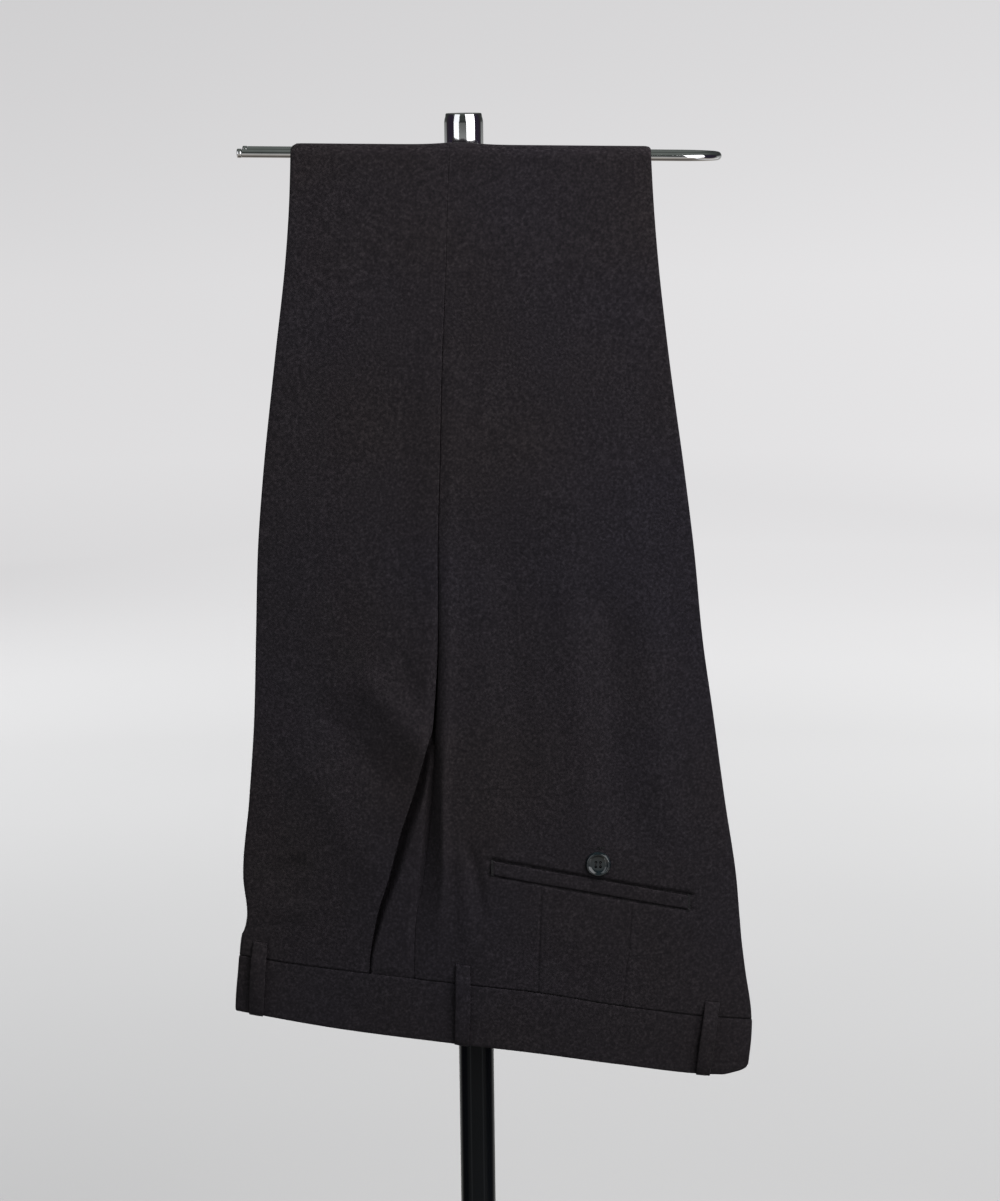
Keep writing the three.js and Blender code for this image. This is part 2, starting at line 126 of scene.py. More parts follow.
FULLNESS = {
    "fall": (-450, -200, 0, 120, 250, 350, 430, 480, 550, 640),
    "outward": (4, 2, 0, 1.5, 4, 7.5, 11, 12.5, 13.5, 13.5),
    "inward": (0, 0, 0, 0, 0, 1.2, 2.4, 4.5, 8, 9),
    "opening": (0.6, 0.2, 0, 0, 0.2, 0.5, 1, 1.5, 2, 2),
}
SIDE_POCKET = {
    "fall": (300, 340, 385, 402, 429, 466, 506, 530, 550, 575),
    "slant": (0.1, 0.5, 1.6, 5.4, 11.2, 19.8, 25.0, 27.6, 30.4, 32),
    "proud": (1.0, 2.4, 3.9, 4.2, 4.6, 4.4, 3.4, 2.2, 0.7, 0.3),
    "under": (2, 3, 6, 8.5, 10, 10.5, 9.5, 7, 3.5, 1.2),
    "slot": (3, 3, 3, 6, 9, 9, 6.5, 4.5, 2.5, 1.5),
}
# The back panel beside the side seam: a soft ridge, and the ditch between it and the seam
SEAM_RIDGE = {
    "fall": (0, 220, 300, 385, 430, 460, 500, 525, 555, 575),
    "centre": (6, 6, 6, 7, 7.5, 10, 14.5, 17, 18, 18),
    "height": (0.1, 0.5, 1.5, 2.6, 3.1, 3.3, 2.9, 1.5, 0.4, 0),
    "half": (5, 5, 5, 4.2, 3.4, 3.3, 3.8, 5, 6, 6),
    "drop": (0, 0, 0.9, 2.8, 6.5, 6.5, 4.8, 2.4, 0.6, 0.3),
    "ditch": (1, 1, 1.2, 2.0, 3.4, 5.0, 7.5, 7.0, 4.0, 3),
}
RISE = {
    "fall": (-450, 0, 215, 325, 345, 372, 410, 460, 520, 580, 640),
    "front": (2, -6, -17, -22, -22, -44, -66, -76, -81, -86, -88),
    "back": (2, -6, -17, -22, -22, 28, 82, 126, 160, 180, 184),
}
BELT_LOOPS = (
    {"name": "front", "across": -148, "fall": 541, "waist": -152.5},
    {"name": "side", "across": -7.5, "fall": 552.8, "waist": -9.5},
    {"name": "back", "across": 164.5, "fall": 580.5, "waist": 158},
)
LOOP_WIDTH = 10.0
TWILL_PITCH = 0.95
WELT = {"start": 13.0, "end": 149.0, "fall": 483.7, "slope": 0.187, "width": 9.4}
HOLE_OFF = 1.6
WELT_GROOVE = {"depth": 2.5, "half": 1.15, "bed": 0.5}
BUTTON = {"across": 86.0, "fall": 481.1, "radius": 8.7, "thickness": 3.0, "turn": 8.0}
DARTS = (
    {"across": 46.6, "fall": 495, "end_across": 43.5, "end_fall": 577},
    {"across": 109.6, "fall": 508, "end_across": 101.8, "end_fall": 586},
)
DART_LINE = {"depth": 0.75, "half": 0.9}
DART_PUFF = {"height": 0.3, "off": 3, "half": 3.0}
# Soft ridges (height above zero) and troughs of the outer face. Each runs
# from one point to another, with a half width and a height in mm.
CREASE_COLUMNS = ("x0", "f0", "x1", "f1", "half", "height")
CREASES = [dict(zip(CREASE_COLUMNS, row)) for row in (
    (-30, 404, -74, 352, 14, 3.4),
    (-52, 432, -104, 372, 15, -2.6),
    (-66, 492, -120, 408, 16, 1.5),
    (-34, 372, -52, 330, 7, -0.9),
    (-154, 505, -118, 482, 8, -2.2),
    (-160, 524, -112, 515, 8, 1.4),
    (-138, 330, -100, 300, 14, 0.7),
    (-1, 472, 7, 518, 3.2, -2.8),
    (-9, 474, -3, 545, 5.0, 1.7),
    (9, 508, 3, 544, 4.2, 0.9),
    (12, 532, 80, 562, 12, -0.7),
    (140, 520, 176, 470, 10, -0.8),
    (66, 270, 78, 462, 14, 2.0),
    (94, 300, 104, 462, 13, -1.7),
    (120, 290, 134, 458, 13, 2.0),
    (24, 250, 34, 465, 16, -1.5),
    (52, 238, 128, 190, 22, 1.5),
    (-76, 150, -82, 330, 20, 0.7),
    (-36, 120, -44, 320, 13, -0.6),
)]


def curve(x, y):
    """Smooth curve through points, flat beyond its ends."""
    x = np.array(x, float)
    y = np.array(y, float)
    slope = np.diff(y) / np.diff(x)
    before = np.concatenate(([slope[0]], slope))
    after = np.concatenate((slope, [slope[-1]]))
    same = before * after > 0
    total = np.where(same, before + after, 1.0)
    tangent = np.where(same, 2 * before * after / total, 0.0)

    def value(at):
        at = np.clip(np.asarray(at, float), x[0], x[-1])
        i = np.clip(np.searchsorted(x, at, side="right") - 1, 0, len(x) - 2)
        width = x[i + 1] - x[i]
        t = (at - x[i]) / width
        rest = 1 - t
        return (
            y[i] * rest * rest * (1 + 2 * t)
            + y[i + 1] * t * t * (3 - 2 * t)
            + width * t * rest * (rest * tangent[i] - t * tangent[i + 1])
        )

    return value


def curves(table):
    """A smooth curve for each column of a table after the first, in order."""
    key, *columns = table
    return [curve(table[key], table[column]) for column in columns]


front_crease, side_seam, back_crease = curves(OUTLINE)
band_seam, waist_edge = curves(BAND)
swell_out, swell_in, crease_opening = curves(FULLNESS)
pocket_slant, pocket_proud, pocket_under, pocket_slot = curves(SIDE_POCKET)
ridge_centre, ridge_height, ridge_half, seam_drop, ditch_half = curves(SEAM_RIDGE)
rise_front, rise_back = curves(RISE)

TOP_FRONT = float(front_crease(0))
TOP_BACK = float(back_crease(0))

# side is +1 where the outer face looks to the front, fine is how much coarser the mesh is
LEGS = {
    "right": {"side": 1, "outer": 3, "inner": 2, "inset": 0.0, "swell": swell_out, "fine": 1.0},
    "left": {"side": -1, "outer": 0, "inner": 1, "inset": LEFT_INSET, "swell": swell_in,
             "fine": 1.8},
}
# near is a place by the crease, and spots are (place, reach, step) of the closer columns
PANELS = {
    "front": {"towards": -1, "crease": front_crease, "rise": rise_front, "near": -160,
              "width": 128, "spots": ((0, 12, 0.8), (20, 14, 2.0))},
    "back": {"towards": 1, "crease": back_crease, "rise": rise_back, "near": 190,
             "width": 225, "spots": ((0, 16, 0.8), (83, 6, 0.6), (146, 7, 0.6))},
}


def layer_depth(layer):
    return FIRST_LAYER + layer * LAYER_STEP


def hang(across, fall, depth, turn):
    """Points of the hung cloth in metres. depth is the distance off the rod's surface."""
    radius = ROD_RADIUS + depth
    corner = 0
    for shape, inwards in ((FRONT_CORNER, across - TOP_FRONT), (BACK_CORNER, TOP_BACK - across)):
        corner = corner + shape["droop"] * np.exp(-np.maximum(inwards, 0) / shape["reach"])
    middle = (across - FOLD_HUMP["across"]) / FOLD_HUMP["half"]
    hump = FOLD_HUMP["height"] * np.exp(-(middle**2))
    y = -RAIL_REACH - radius * np.cos(turn)
    rise = radius * np.sin(turn) * (FOLD_HEIGHT + hump - corner)
    z = RAIL_HEIGHT - RAIL_DIP * across + rise - np.abs(fall)
    return np.stack(np.broadcast_arrays(across, y, z), axis=-1) * MM


def smooth_step(value):
    value = np.clip(value, 0, 1)
    return value * value * (3 - 2 * value)


def along_line(across, fall, x0, f0, x1, f1):
    """Distance from a line, and the position along it from 0 to 1."""
    dx, df = x1 - x0, f1 - f0
    length = math.hypot(dx, df)
    along = ((across - x0) * dx + (fall - f0) * df) / length**2
    off = ((across - x0) * df - (fall - f0) * dx) / length
    return off, along


def creases(across, fall):
    """Height of the listed ridges and troughs."""
    height = np.zeros(np.broadcast(across, fall).shape)
    for row in CREASES:
        off, along = along_line(across, fall, row["x0"], row["f0"], row["x1"], row["f1"])
        fade = smooth_step(along / 0.35 + 0.5) * smooth_step((1 - along) / 0.35 + 0.5)
        height += row["height"] * fade * np.exp(-((off / row["half"]) ** 2) * 1.4)
    return height


def ripple(across, fall, side):
    """Slow unevenness of hung cloth, longer than it is wide."""
    a = np.sin(across / 23.0 + side * 1.3 + 0.8 * np.sin(fall / 97.0))
    b = np.sin(across / 11.0 + fall / 150.0 + side * 2.1)
    c = np.sin(fall / 61.0 + across / 70.0 + side)
    return 0.22 * a + 0.09 * b + 0.16 * c


def bump_at(off, half):
    """Bell curve of height 1."""
    return np.exp(-((off / half) ** 2))


def darts(across, fall):
    """Stitched line of each dart, with the cloth a little fuller beside it."""
    depth = np.zeros(np.broadcast(across, fall).shape)
    for dart in DARTS:
        off, along = along_line(across, fall, dart["across"], dart["fall"],
                                dart["end_across"], dart["end_fall"])
        inside = smooth_step(along * 12) * smooth_step((1.15 - along) * 8)
        depth -= DART_LINE["depth"] * inside * bump_at(off, DART_LINE["half"])
        depth += DART_PUFF["height"] * inside * bump_at(off - DART_PUFF["off"], DART_PUFF["half"])
    return depth


def welt_line(across):
    return WELT["fall"] + WELT["slope"] * (across - WELT["start"])


def welt_grooves(across, fall):
    """The panel is drawn in a little along both edges of the welt."""
    level = fall - welt_line(across)
    half = WELT["width"] / 2 + 0.4
    ends = smooth_step((across - WELT["start"] + 3) / 3) * smooth_step(
        (WELT["end"] + 3 - across) / 3)
    beyond = np.abs(level) - half
    line = bump_at(beyond, WELT_GROOVE["half"])
    bed = 1 / (1 + np.exp(np.minimum(beyond * 2.5, 100)))
    return ends * (-WELT_GROOVE["depth"] * line - WELT_GROOVE["bed"] * bed)


def seam_relief(across, fall, which):
    """Pressed-open side seam: a fine valley between two low ridges. Towards the pocket
    the valley becomes a deep gap and the back panel rolls up beside it."""
    off = across - side_seam(fall)
    front = fall > 0
    gape = np.where(front, smooth_step((fall - 255) / 110), 0.0)
    room = smooth_step(np.abs(fall) / 90)
    valley = -(VALLEY["depth"] * room) * bump_at(off, VALLEY["half"])
    beside = np.abs(off) - ALLOWANCE["off"]
    allowance = ALLOWANCE["height"] * room * bump_at(beside, ALLOWANCE["half"])
    if which == "front":
        edge = -off - pocket_slant(fall)
        rolled = bump_at(np.maximum(edge, 0), 1.2 + 2.2 * gape)
        shut = 1 - smooth_step((fall - 392) / 14)
        return valley + allowance - (0.3 + 2.6 * shut) * gape * rolled
    roll = ridge_height(fall) * bump_at(off - ridge_centre(fall), ridge_half(fall))
    drop = seam_drop(fall) * bump_at(np.maximum(off, 0), ditch_half(fall))
    return valley + allowance + roll - drop


def outer_depth(leg, across, fall, detail=1.0):
    """Middle of the cloth of a leg's outer face."""
    front = front_crease(fall) + leg["inset"]
    back = back_crease(fall) - leg["inset"]
    middle = 2 * (across - front) / (back - front) - 1
    from_middle = np.minimum(1, np.abs(middle))
    swell = leg["swell"](fall)
    # Low down, the front half rises straighter from its crease
    leaning = np.where(middle < 0, 1.05 * smooth_step((fall - 240) / 170), 0.0)
    flat = 1 - from_middle ** (2.5 - leaning)
    room = smooth_step(swell * flat / 3.0) * smooth_step((1 - from_middle) / 0.12)
    lumps = detail * room * (creases(across, fall) + ripple(across, fall, leg["side"]))
    off = crease_opening(fall) + swell * flat + lumps
    return layer_depth(leg["outer"]) + leg["side"] * off


def panel_relief(leg, across, fall, which):
    """Everything that a panel's outer face adds to the leg's form."""
    room = smooth_step(leg["swell"](fall) / 2.5)
    relief = seam_relief(across, fall, which)
    if which == "front":
        near = np.clip(1 - (side_seam(fall) - across) / 90, 0, 1)
        relief = relief + np.where(fall > 0, pocket_proud(fall), 0) * near**2
    else:
        relief = relief + np.where(fall > 0, darts(across, fall), 0)
        relief = relief + np.where(fall > 0, welt_grooves(across, fall), 0)
    return leg["side"] * room * relief


def inner_depth(leg, fall):
    return layer_depth(leg["inner"]) + leg["side"] * 0.25 * crease_opening(fall)


# ---------- meshes


def placed(name, data):
    """New object of a mesh, light or camera, linked to the scene."""
    obj = bpy.data.objects.new(name, data)
    bpy.context.scene.collection.objects.link(obj)
    return obj


def shade_smooth(mesh):
    mesh.polygons.foreach_set("use_smooth", [True] * len(mesh.polygons))


def new_object(name, verts, faces):
    mesh = bpy.data.meshes.new(name)
    mesh.from_pydata([tuple(v) for v in verts], [], faces)
    mesh.update()
    shade_smooth(mesh)
    return placed(name, mesh)


def quad_mesh(name, verts, quads):
    mesh = bpy.data.meshes.new(name)
    verts = np.asarray(verts, np.float32)
    quads = np.asarray(quads, np.int32)
    mesh.vertices.add(len(verts))
    mesh.vertices.foreach_set("co", verts.ravel())
    mesh.loops.add(quads.size)
    mesh.loops.foreach_set("vertex_index", quads.ravel())
    mesh.polygons.add(len(quads))
    mesh.polygons.foreach_set("loop_start", np.arange(0, quads.size, 4, dtype=np.int32))
    mesh.update(calc_edges=True)
    mesh.validate()
    shade_smooth(mesh)
    return placed(name, mesh)


def wall(name, section_rows):
    """Closed wall of cloth. Each row holds the points of its outer and its inner face."""
    outer, inner = np.moveaxis(np.array(section_rows), 1, 0)
    rows, columns = outer.shape[:2]
    far = rows * columns
    index = np.arange(far).reshape(rows, columns)
    a, b = index[:-1, :-1], index[:-1, 1:]
    c, d = index[1:, 1:], index[1:, :-1]
    top = np.stack((a, b, c, d), -1).reshape(-1, 4)
    under = np.stack((a, d, c, b), -1).reshape(-1, 4) + far
    rim = np.concatenate((index[0], index[1:, -1], index[-1, -2::-1], index[-2:0:-1, 0]))
    ahead = np.roll(rim, -1)
    edge = np.stack((rim, rim + far, ahead + far, ahead), -1)
    verts = np.concatenate((outer.reshape(-1, 3), inner.reshape(-1, 3)))
    quads = np.concatenate((top, under, edge))
    obj = quad_mesh(name, verts, quads)
    if signed_volume(verts, quads) < 0:
        obj.data.flip_normals()
    return obj


def signed_volume(verts, quads):
    v = np.asarray(verts, float)
    total = 0.0
    for i, j, k in ((0, 1, 2), (0, 2, 3)):
        a, b, c = v[quads[:, i]], v[quads[:, j]], v[quads[:, k]]
        total += np.einsum("ij,ij->i", a, np.cross(b, c)).sum()
    return total


def lathe(name, profile, segments, axis_point=(0, 0)):
    """Solid of revolution about a vertical axis, from (radius, height) rows in mm."""
    verts, faces, rings = [], [], []
    for radius, height in profile:
        count = segments if radius > 0 else 1
        rings.append(range(len(verts), len(verts) + count))
        for n in range(count):
            angle = 2 * math.pi * n / segments
            verts.append(((axis_point[0] + radius * math.cos(angle)) * MM,
                          (axis_point[1] + radius * math.sin(angle)) * MM, height * MM))
    for low, high in zip(rings, rings[1:]):
        for n in range(segments):
            m = (n + 1) % segments
            if len(low) == 1:
                faces.append((low[0], high[m], high[n]))
            elif len(high) == 1:
                faces.append((low[n], low[m], high[0]))
            else:
                faces.append((low[n], low[m], high[m], high[n]))
    return new_object(name, verts, faces)


def rounded(corner_radius, at, start, end, steps=5):
    """Points of a rounded corner in a lathe profile, angles in degrees."""
    points = []
    for n in range(steps + 1):
        angle = math.radians(start + (end - start) * n / steps)
        points.append((at[0] + corner_radius * math.cos(angle),
                       at[1] + corner_radius * math.sin(angle)))
    return points


def tube_faces(rings, sides, start=0):
    """Faces of a closed tube whose rings of points follow each other in a list."""
    faces = []
    for n in range(rings - 1):
        for k in range(sides):
            a = start + n * sides + k
            b = start + n * sides + (k + 1) % sides
            faces.append((a, b, b + sides, a + sides))
    last = start + (rings - 1) * sides
    faces.append(tuple(range(start, start + sides)))
    faces.append(tuple(reversed(range(last, last + sides))))
    return faces


def tube_points(centres, radius, sides):
    """Rings of points round a line through some centres."""
    centres = [Vector(c) for c in centres]
    spots = []
    for n, centre in enumerate(centres):
        run = centres[min(n + 1, len(centres) - 1)] - centres[max(n - 1, 0)]
        helper = Vector((0, 0, 1)) if abs(run.normalized().z) < 0.9 else Vector((1, 0, 0))
        across = run.cross(helper).normalized()
        rise = across.cross(run).normalized()
        for k in range(sides):
            angle = 2 * math.pi * k / sides
            spots.append(centre + radius * (across * math.cos(angle) + rise * math.sin(angle)))
    return spots


# ---------- panels


def part_rows(fine):
    """Rows of a panel from the waistband over the rail to the hem: how far down the
    drape, the angle round the rod, and whether the row hangs behind."""
    step = ROW_STEP * fine / DRAPE_LENGTH
    close = CLOSE_STEP * fine / DRAPE_LENGTH
    parts = [1.0]
    while parts[-1] > step:
        dense = any(low < parts[-1] < high for low, high in CLOSE_PARTS)
        parts.append(parts[-1] - (close if dense else step))
    parts.append(0.0)
    rows = [(part, 0.0, False) for part in parts]
    rows += [(0.0, math.pi * n / FOLD_STEPS, False) for n in range(1, FOLD_STEPS)]
    count = int(HEM_FALL / (HEM_STEP * fine))
    rows += [(n / count, math.pi, True) for n in range(count + 1)]
    return rows


def row_fall(row, across):
    part, _, behind = row
    if behind:
        return -part * HEM_FALL + 0 * across
    return part * band_seam(across)


def seam_fall_of(row):
    """Fall of a row where it meets the side seam."""
    return row_fall(row, side_seam(row_fall(row, np.float64(-20))))


def dense_spacing(width, spots, fine):
    """Fractions from 0 to 1 across a width, closer together round some spots."""
    places = [0.0]
    while places[-1] < width:
        step = ROW_STEP * fine
        for spot, reach, close in spots:
            if abs(places[-1] - spot) < reach:
                step = min(step, close * fine)
        places.append(places[-1] + step)
    return np.array(places) / places[-1]


def folded_section(leg, start, crease, stop, fractions, inner_count, row, depth_out, depth_in):
    """One row of a panel: across, depth and outward direction of each point."""
    towards = 1.0 if crease > start else -1.0
    crease_fall = row_fall(row, np.float64(crease))
    crease_depth = float(depth_out(np.float64(crease), crease_fall))
    radius = abs(crease_depth - depth_in) / 2
    turn_start = crease - towards * radius
    across = start + (turn_start - start) * fractions
    depth = depth_out(across, row_fall(row, across))
    near = smooth_step(1 - np.abs(across - turn_start) / 4)
    depth = depth * (1 - near) + crease_depth * near
    side = leg["side"]
    out = [across, depth, 0 * across, side + 0 * across]
    angle = np.linspace(0, math.pi, 7)[1:-1]
    middle = (crease_depth + depth_in) / 2
    turn = [
        turn_start + towards * radius * np.sin(angle),
        middle + side * radius * np.cos(angle),
        towards * np.sin(angle),
        side * np.cos(angle),
    ]
    back = turn_start + (stop - turn_start) * np.linspace(0, 1, inner_count)
    home = [back, depth_in + 0 * back, 0 * back, -side + 0 * back]
    return [np.concatenate(parts) for parts in zip(out, turn, home)]


def hang_faces(section, thickness, fall_of, turn):
    """Both faces of one row, hung over the rod."""
    across, depth, normal_across, normal_depth = section
    fall = fall_of(across)
    faces = []
    for offset in (thickness / 2, -thickness / 2):
        faces.append(hang(across + offset * normal_across, fall, depth + offset * normal_depth,
                          turn))
    return faces


def panel(leg_name, which):
    leg, shape = LEGS[leg_name], PANELS[which]
    fine = leg["fine"]
    fractions = dense_spacing(shape["width"], shape["spots"], fine)
    rows = []

    def depth_out(across, fall):
        return outer_depth(leg, across, fall) + panel_relief(leg, across, fall, which)

    for row in part_rows(fine):
        crease_fall = row_fall(row, np.float64(shape["near"]))
        crease = float(shape["crease"](crease_fall)) - shape["towards"] * leg["inset"]
        seam_fall = seam_fall_of(row)
        start = float(side_seam(seam_fall))
        if which == "front" and seam_fall > 0:
            start -= float(pocket_slant(seam_fall))
        section = folded_section(leg, start, crease, float(shape["rise"](seam_fall)), fractions,
                                 max(10, int(18 / fine)), row, depth_out,
                                 float(inner_depth(leg, seam_fall)))
        rows.append(hang_faces(section, THICKNESS, lambda x, r=row: row_fall(r, x), row[1]))
    return wall(f"{leg_name}_{which}_cloth", rows)


# ---------- waistbands


def band_fall(leg, part, across):
    """Fall of a point of the waistband, with the rounded corner at the centre back."""
    top = band_seam(across) + 0.45
    bottom = waist_edge(across)
    fall = top + part * (bottom - top)
    corner = np.clip((across - (back_crease(fall) - leg["inset"] - 17)) / 17, 0, 1)
    cut = 4.6 * corner**1.15 + 2.4 * (1 - np.sqrt(np.maximum(0, 1 - corner**8)))
    return fall - cut * np.clip((part - 0.4) / 0.6, 0, 1)


def waistband(leg_name):
    leg = LEGS[leg_name]
    rim = [0, 0.006, 0.016, 0.032, 0.06]
    parts = rim + list(np.linspace(0.1, 0.9, 14)) + [1 - p for p in reversed(rim)]
    fractions = np.linspace(0, 1, int(120 / leg["fine"]))
    rows = []
    middle = 10.0
    for part in parts:

        def fall_of(across, p=part):
            return band_fall(leg, p, np.asarray(across, float))

        def depth_out(across, _fall=None, p=part):
            fall = fall_of(across, p)
            roll = 0.35 * math.sin(math.pi * p) + 0.12 * np.sin(across / 17 + 3 * p)
            shallow = 0.3 * np.sin(across / 41 + 1.0)
            return outer_depth(leg, across, fall, 0.4) + leg["side"] * (roll + shallow)

        halves = []
        for which, near, home in (("front", -160, 24), ("back", 185, 8)):
            shape = PANELS[which]
            crease = float(shape["crease"](fall_of(near))) - shape["towards"] * leg["inset"]
            stop = float(shape["rise"](fall_of(0.0)))
            depth_in = float(inner_depth(leg, fall_of(0.0))) + leg["side"] * 0.25
            halves.append(folded_section(leg, middle, crease, stop, fractions, home,
                                         (part, 0.0, False), depth_out, depth_in))
        section = [np.concatenate((f[::-1], b[1:])) for f, b in zip(*halves)]
        edge = min(part, 1 - part) * 42
        plump = 0.35 + 0.65 * math.sqrt(min(1.0, edge / 1.6 + 0.02))
        rows.append(hang_faces(section, BAND_THICKNESS * plump, fall_of, 0.0))
    return wall(f"{leg_name}_waistband_cloth", rows)


# ---------- pieces on the panels


def strip(name, leg, lengths, widths, thickness, place, off):
    """Strip of cloth with rounded edges on the outer face. place gives across and fall,
    off the height of its underside above the middle of the panel's cloth."""
    along, side = np.meshgrid(lengths, widths, indexing="ij")
    across, fall = place(along, side)
    base = outer_depth(leg, across, fall)
    rim = np.minimum(np.minimum(side, 1 - side) * LOOP_WIDTH, np.minimum(along, 1 - along) * 60)
    plump = 0.3 + 0.7 * np.sqrt(np.clip(rim / 0.9, 0.0, 1.0))
    middle = off(along, side) + thickness / 2
    outer = hang(across, fall, base + leg["side"] * (middle + plump * thickness / 2), 0.0)
    inner = hang(across, fall, base + leg["side"] * (middle - plump * thickness / 2), 0.0)
    return wall(name, np.stack((outer, inner), 1))


def rim_spacing(count, rim):
    body = np.linspace(rim[-1] * 1.6, 1 - rim[-1] * 1.6, count)
    return np.concatenate((rim, body, 1 - np.array(rim[::-1])))


def belt_loop(leg_name, loop):
    leg = LEGS[leg_name]
    waist_fall = float(waist_edge(loop["waist"])) + 0.6
    length = waist_fall - loop["fall"]

    def place(along, side):
        across = loop["across"] + along * (loop["waist"] - loop["across"])
        bend = 0.25 * np.sin(along * 5 + loop["across"])
        across = across + (side - 0.5) * (LOOP_WIDTH + 0.4 * np.sin(along * 4)) + bend
        fall = loop["fall"] + along * length + (side - 0.5) * LOOP_WIDTH / 8
        return across, fall

    def off(along, side):
        start = THICKNESS / 2 + LIFT
        onto_band = smooth_step((along * length - 8) / 6)
        bow = 2.9 * np.sin(math.pi * np.clip(along * 1.02, 0, 1)) ** 0.6
        ridge = 0.25 * np.cos((side - 0.5) * math.pi * 1.6)
        tuck = 1.2 * smooth_step((along - 0.965) / 0.035)
        return start + 0.9 * onto_band + bow + ridge - tuck

    return strip(f"{leg_name}_belt_loop_{loop['name']}_cloth", leg,
                 rim_spacing(44, [0, 0.004, 0.012]), rim_spacing(12, [0, 0.03, 0.08]),
                 1.15, place, off)


def back_welt(leg_name):
    leg = LEGS[leg_name]

    def place(along, side):
        across = WELT["start"] + along * (WELT["end"] - WELT["start"])
        uneven = 0.25 * np.sin(across / 19.0)
        return across, welt_line(across) + uneven + (side - 0.5) * WELT["width"]

    def off(along, side):
        crown = 0.22 * np.sin(math.pi * side)
        return THICKNESS / 2 - 0.12 + crown + 0.08 * np.sin(along * 21)

    return strip(f"{leg_name}_back_welt_cloth", leg, rim_spacing(150, [0, 0.002, 0.006]),
                 rim_spacing(12, [0, 0.03, 0.08]), 0.8, place, off)


def pocket_facing(leg_name):
    """Facing of the slanted pocket: it leaves the side seam in a short valley, stands up
    in a wedge and sinks away under the front panel's edge."""
    leg = LEGS[leg_name]
    parts = np.linspace(0.66, 1.012, int(130 / leg["fine"]))
    sides = np.linspace(0, 1, int(72 / leg["fine"]))
    rows = []
    for part in parts[::-1]:
        row = (part, 0.0, False)
        fall = float(seam_fall_of(row))
        seam = float(side_seam(fall))
        slant = max(float(pocket_slant(fall)), 1.0)
        across = seam - sides * (slant + 12)
        level = row_fall(row, across)
        swell = float(leg["swell"](fall))
        room = min(1.0, swell / 8)
        away = seam - across
        slot = float(pocket_slot(fall))
        sink = smooth_step((away - slant + slot) / slot)
        ditch = float(seam_drop(fall)) * bump_at(away, 3.0)
        below = room * (float(pocket_under(fall)) * sink + ditch)
        behind_band = 1.2 * float(smooth_step((part - 0.993) / 0.012))
        depth = outer_depth(leg, across, level) - leg["side"] * (below + behind_band)
        rows.append([hang(across, level, depth + leg["side"] * THICKNESS / 2, 0.0),
                     hang(across, level, depth - leg["side"] * THICKNESS / 2, 0.0)])
    return wall(f"{leg_name}_pocket_facing_cloth", rows)


def surface_frame(leg, across, fall, off):
    """Point and turning matrix of the outer face: +Z outward, +X along the waist."""
    def at(dx, df):
        base = outer_depth(leg, np.float64(across + dx), np.float64(fall + df))
        return Vector(hang(across + dx, fall + df, float(base), 0.0))
    along = (at(4, 0) - at(-4, 0)).normalized()
    up = (at(0, -4) - at(0, 4)).normalized()
    outward = along.cross(up).normalized() * leg["side"]
    if leg["side"] < 0:
        along = -along
    up = outward.cross(along).normalized()
    turn = Matrix((along, up, outward)).transposed().to_4x4()
    place = at(0, 0) + outward * off * MM
    return Matrix.Translation(place) @ turn


def back_button(leg_name):
    """Four-hole button with a raised rim and a dished middle."""
    leg = LEGS[leg_name]
    r, t = BUTTON["radius"], BUTTON["thickness"]
    profile = [(0, 0), (r - 2.0, 0)]
    profile += rounded(1.0, (r - 1.0, 1.1), -70, 60, 6)
    profile += rounded(1.15, (r - 1.55, t - 1.15), 30, 140, 9)
    profile += [(r - 3.1, t - 0.8), (r - 4.0, t - 1.0), (r - 5.5, t - 1.1), (0, t - 1.15)]
    body = lathe(f"{leg_name}_button", profile, 72)
    for n in range(4):
        spot = (HOLE_OFF * (n // 2 * 2 - 1), HOLE_OFF * (n % 2 * 2 - 1))
        hole = lathe(f"hole_{n}", [(0, -1), (0.95, -1), (0.95, 5), (0, 5)], 20, spot)
        cut = body.modifiers.new("hole", "BOOLEAN")
        cut.object = hole
        cut.operation = "DIFFERENCE"
        cut.solver = "EXACT"
        bpy.context.view_layer.objects.active = body
        bpy.ops.object.select_all(action="DESELECT")
        body.select_set(True)
        bpy.ops.object.modifier_apply(modifier=cut.name)
        bpy.data.objects.remove(hole, do_unlink=True)
    matrix = surface_frame(leg, BUTTON["across"], BUTTON["fall"], THICKNESS / 2 + 0.5)
    matrix = matrix @ Matrix.Rotation(math.radians(-BUTTON["turn"]), 4, "Y")
    body.data.transform(matrix)
    shade_smooth(body.data)
    sharpen(body, 38)
    return body, matrix


def button_thread(leg_name, matrix):
    """Two parallel strands of thread through the holes, and the shank under the button."""
    verts, faces = [], []
    for x in (-HOLE_OFF, HOLE_OFF):
        for shift in (-0.32, 0.0, 0.32):
            add_thread(verts, faces, [(x + shift, -1.9, 1.3), (x + shift, -1.5, 2.15),
                                      (x + shift, 0, 2.4), (x + shift, 1.5, 2.15),
                                      (x + shift, 1.9, 1.3)], 0.17)
    for shift in (-0.8, -0.3, 0.2, 0.7):
        add_thread(verts, faces, [(shift, -0.6, -0.4), (shift, 0.1, 0.3)], 0.35)
    thread = new_object(f"{leg_name}_button_thread", verts, faces)
    thread.data.transform(matrix)
    return thread


def add_thread(verts, faces, points, radius, sides=8):
    """Adds a thin round strand to a joined mesh. Points and radius are in mm."""
    faces += tube_faces(len(points), sides, len(verts))
    verts += [spot * MM for spot in tube_points(points, radius, sides)]


